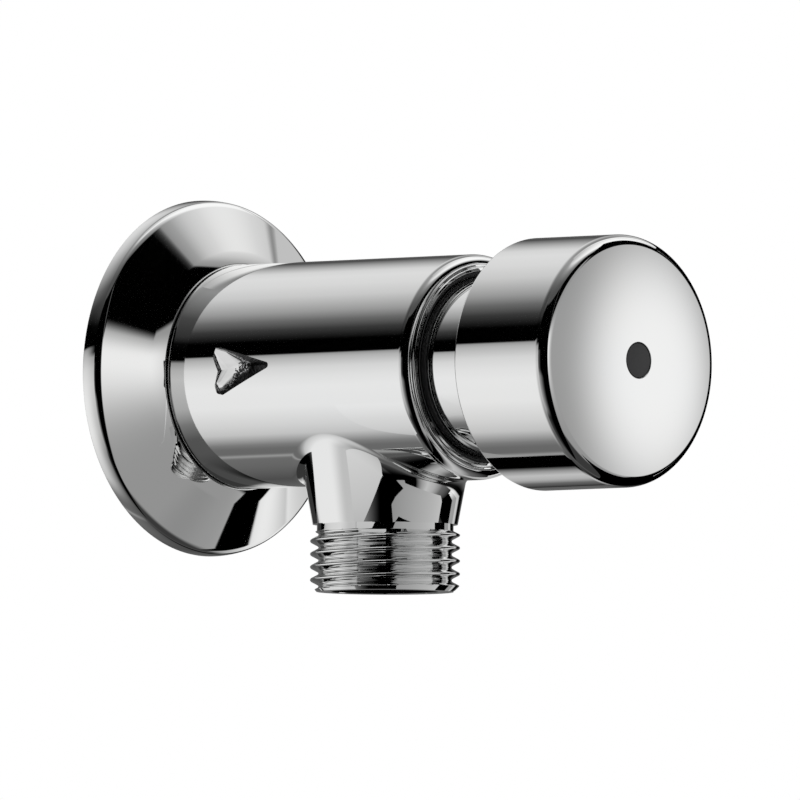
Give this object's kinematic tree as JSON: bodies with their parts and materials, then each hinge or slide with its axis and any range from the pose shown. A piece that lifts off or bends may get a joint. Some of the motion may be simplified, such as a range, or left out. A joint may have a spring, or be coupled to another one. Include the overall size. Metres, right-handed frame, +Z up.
{
  "type": "urinal flush valve",
  "caption": "Wall-mounted self-closing urinal flush valve: round push button on a straight barrel, wall flange, threaded inlet behind and threaded outlet below.",
  "frame": {"origin": "on the valve's axis in the wall plane, inside the inlet thread", "axes": "+Z up; the valve stands out from the wall along -Y; +Y is the inlet thread's axis, into the wall; the outlet points down, along -Z"},
  "size_m": [0.05, 0.0967, 0.0559],
  "materials": {
    "polished_chrome": "polished chrome plate over cast or turned brass",
    "bare_brass": "turned, unplated",
    "stainless": "drawn or turned stainless steel",
    "black_rubber": "moulded nitrile rubber",
    "fibre": "red fibre gasket",
    "white_resin": "moulded acetal",
    "grey_resin": "moulded glass-filled nylon",
    "black_resin": "moulded, satin black"
  },
  "bodies": {
    "valve": {"valve_body": "polished_chrome", "wall_flange": "polished_chrome", "wall_seal_ring": "black_rubber", "inlet_strainer": "stainless", "cartridge_body": "bare_brass", "seat_ring": "stainless", "cartridge_o_ring": "black_rubber", "cartridge_gasket": "fibre", "timing_cylinder": "bare_brass", "cylinder_head": "bare_brass", "head_o_ring": "black_rubber", "gland_nut": "polished_chrome", "guide_bush": "white_resin", "wiper_seal": "black_rubber", "return_spring": "stainless"},
    "push_button": {"spindle": "stainless", "washer_holder": "bare_brass", "seat_washer": "black_rubber", "washer_nut": "bare_brass", "piston": "white_resin", "piston_lip_seal": "black_rubber", "piston_clip": "stainless", "metering_pin": "stainless", "button_cap": "polished_chrome", "push_sleeve": "polished_chrome", "button_hub": "grey_resin", "button_screw": "stainless", "centre_plug": "black_resin"}
  },
  "joints": [
    {"name": "button_press", "type": "slide", "parent": "valve", "child": "push_button", "axis": [0, 1, 0], "range_m": [0, 0.007], "stiffness_N_per_m": 1700, "springref_m": -0.008, "deforming": ["return_spring"]}
  ]
}
